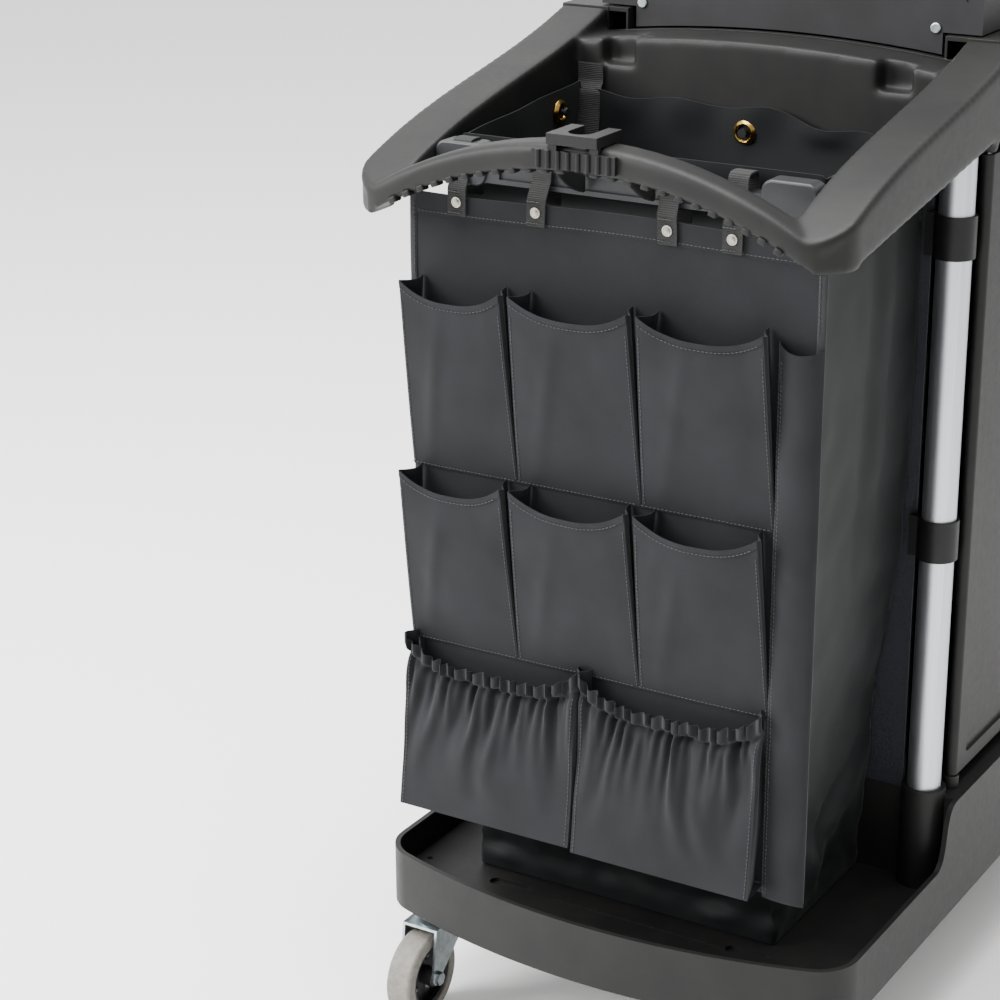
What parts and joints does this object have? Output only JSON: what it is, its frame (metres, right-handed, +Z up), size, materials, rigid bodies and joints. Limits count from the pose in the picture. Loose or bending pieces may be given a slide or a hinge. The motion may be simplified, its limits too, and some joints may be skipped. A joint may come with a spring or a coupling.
{
  "type": "housekeeping cart",
  "caption": "Wheeled housekeeping cart with locking cabinet and hood, hanging bag, cloth pocket organizer and arched push handle.",
  "frame": {"origin": "on the floor under the middle of the cart", "axes": "+Z up, Y along the cart with the bag and handle at -Y, X across"},
  "size_m": [0.572, 1.264, 1.359],
  "materials": {
    "black_moulding": "satin, finely grained",
    "door_moulding": "satin",
    "textured_panel": "pebbled",
    "rubber_strip": "matt",
    "aluminium_tube": "satin anodised",
    "zinc_steel": "bright zinc plated",
    "nickel": "polished",
    "brass_ring": "polished",
    "grey_tread": "matt",
    "dark_hub": "satin",
    "bag_cloth": "plain weave",
    "pocket_cloth": "plain weave",
    "webbing": "ribbed webbing"
  },
  "bodies": {
    "cart": {"base_platform": "black_moulding", "top_frame": "black_moulding", "organizer_bar": "black_moulding", "lower_shelf": "black_moulding", "upper_shelf": "black_moulding", "shelf_rails": "black_moulding", "cabinet_end_panel": "textured_panel", "cabinet_rear_panel": "textured_panel", "cabinet_side_panel": "textured_panel", "tool_grip": "rubber_strip", "post_clips": "rubber_strip", "bag_hooks": "black_moulding", "left_front_post": "aluminium_tube", "right_front_post": "aluminium_tube", "left_rear_post": "aluminium_tube", "right_rear_post": "aluminium_tube", "rear_axle": "zinc_steel", "left_axle_bracket": "zinc_steel", "right_axle_bracket": "zinc_steel", "rear_axle_caps": "dark_hub", "door_hinge_pins": "zinc_steel", "hood_hinge_base": "zinc_steel", "hood_hinge_pin": "zinc_steel", "hood_catch": "zinc_steel", "waste_bag": "bag_cloth", "bag_grommets": "brass_ring", "bag_strap": "webbing", "organizer_panel": "pocket_cloth", "organizer_top_pockets": "pocket_cloth", "organizer_middle_pockets": "pocket_cloth", "organizer_lower_pockets": "pocket_cloth", "organizer_long_pocket": "pocket_cloth", "organizer_straps": "webbing", "snap_studs": "nickel", "left_caster_head": "zinc_steel", "right_caster_head": "zinc_steel"},
    "front_door": {"front_door": "door_moulding"},
    "rear_door": {"rear_door": "door_moulding"},
    "door_lock": {"door_lock_barrel": "nickel", "door_lock_cam": "zinc_steel"},
    "hood": {"hood": "black_moulding", "hood_screws": "zinc_steel", "hood_hinge_leaf": "zinc_steel"},
    "hood_lock": {"hood_lock_barrel": "nickel", "hood_lock_cam": "zinc_steel"},
    "left_caster": {"left_caster_fork": "zinc_steel", "left_caster_axle": "zinc_steel"},
    "left_caster_wheel": {"left_caster_tyre": "grey_tread", "left_caster_hub": "dark_hub"},
    "left_rear_wheel": {"left_rear_tyre": "grey_tread", "left_rear_hub": "dark_hub"},
    "right_caster": {"right_caster_fork": "zinc_steel", "right_caster_axle": "zinc_steel"},
    "right_caster_wheel": {"right_caster_tyre": "grey_tread", "right_caster_hub": "dark_hub"},
    "right_rear_wheel": {"right_rear_tyre": "grey_tread", "right_rear_hub": "dark_hub"}
  },
  "joints": [
    {"name": "left_caster_swivel", "type": "hinge", "parent": "cart", "child": "left_caster", "pos_m": [-0.234, -0.528, 0.115], "axis": [0, 0, 1], "continuous": true},
    {"name": "left_caster_roll", "type": "hinge", "parent": "left_caster", "child": "left_caster_wheel", "pos_m": [-0.234, -0.563, 0.0508], "axis": [1, 0, 0], "continuous": true},
    {"name": "left_rear_roll", "type": "hinge", "parent": "cart", "child": "left_rear_wheel", "pos_m": [-0.262, 0.488, 0.1016], "axis": [1, 0, 0], "continuous": true},
    {"name": "right_caster_swivel", "type": "hinge", "parent": "cart", "child": "right_caster", "pos_m": [0.234, -0.528, 0.115], "axis": [0, 0, 1], "continuous": true},
    {"name": "right_caster_roll", "type": "hinge", "parent": "right_caster", "child": "right_caster_wheel", "pos_m": [0.234, -0.563, 0.0508], "axis": [1, 0, 0], "continuous": true},
    {"name": "right_rear_roll", "type": "hinge", "parent": "cart", "child": "right_rear_wheel", "pos_m": [0.262, 0.488, 0.1016], "axis": [1, 0, 0], "continuous": true},
    {"name": "front_door_hinge", "type": "hinge", "parent": "cart", "child": "front_door", "pos_m": [0.265, -0.2205, 0.64], "axis": [0, 0, -1], "range_deg": [0, 110]},
    {"name": "rear_door_hinge", "type": "hinge", "parent": "cart", "child": "rear_door", "pos_m": [0.265, 0.2765, 0.64], "axis": [0, 0, 1], "range_deg": [0, 110]},
    {"name": "door_lock_turn", "type": "hinge", "parent": "rear_door", "child": "door_lock", "pos_m": [0.265, 0.056, 0.64], "axis": [1, 0, 0], "range_deg": [0, 90]},
    {"name": "hood_hinge", "type": "hinge", "parent": "cart", "child": "hood", "pos_m": [-0.2345, 0.084, 1.113], "axis": [0, -1, 0], "range_deg": [0, 95]},
    {"name": "hood_lock_turn", "type": "hinge", "parent": "hood", "child": "hood_lock", "pos_m": [0.228, 0.084, 1.151], "axis": [1, 0, 0], "range_deg": [0, 90]}
  ]
}
